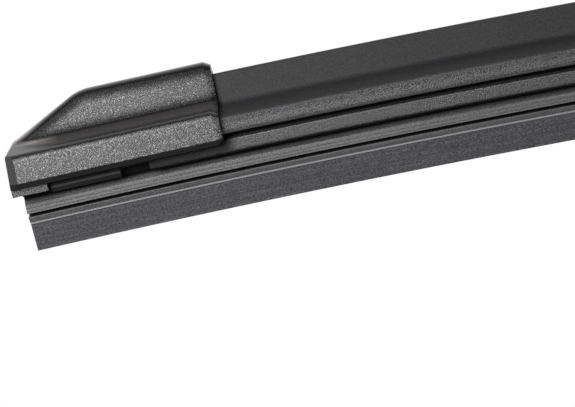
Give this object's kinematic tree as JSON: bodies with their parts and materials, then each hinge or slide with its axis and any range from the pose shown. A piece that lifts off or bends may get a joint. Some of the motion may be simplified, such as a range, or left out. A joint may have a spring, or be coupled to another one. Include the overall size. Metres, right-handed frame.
{
  "type": "wiper blade",
  "caption": "Flat bowed wiper blade with finned spoilers, moulded end caps, a wiping rubber clipped under spring strips and a rocking adapter for a hook arm.",
  "frame": {"origin": "on the axis of the pivot pin, at the middle of the blade", "axes": "+X along the blade, +Y along the pivot pin, +Z away from the glass"},
  "size_m": [0.4, 0.0222, 0.0428],
  "materials": {
    "wiping_rubber": "matte extruded rubber with a dry coated lip",
    "coated_spring_steel": "spring steel with a thin black coating",
    "spoiler_plastic": "smooth black extruded plastic",
    "cap_plastic": "black moulded plastic with a fine spark-eroded grain",
    "base_metal": "pressed steel, black powder coat",
    "pin_steel": "plain riveted steel",
    "adapter_plastic": "black moulded plastic, satin"
  },
  "bodies": {
    "adapter": {"hook_adapter": "adapter_plastic"},
    "blade": {"wiper_rubber": "wiping_rubber", "flexor_front": "coated_spring_steel", "flexor_rear": "coated_spring_steel", "spoiler_left": "spoiler_plastic", "spoiler_right": "spoiler_plastic", "end_cap_left": "cap_plastic", "end_cap_right": "cap_plastic", "centre_base": "base_metal", "centre_cover": "cap_plastic", "pivot_pin": "pin_steel"}
  },
  "joints": [
    {"name": "blade_rock", "type": "hinge", "parent": "adapter", "child": "blade", "pos_m": [0, 0, 0], "axis": [0, 1, 0], "range_deg": [-15, 15]}
  ]
}
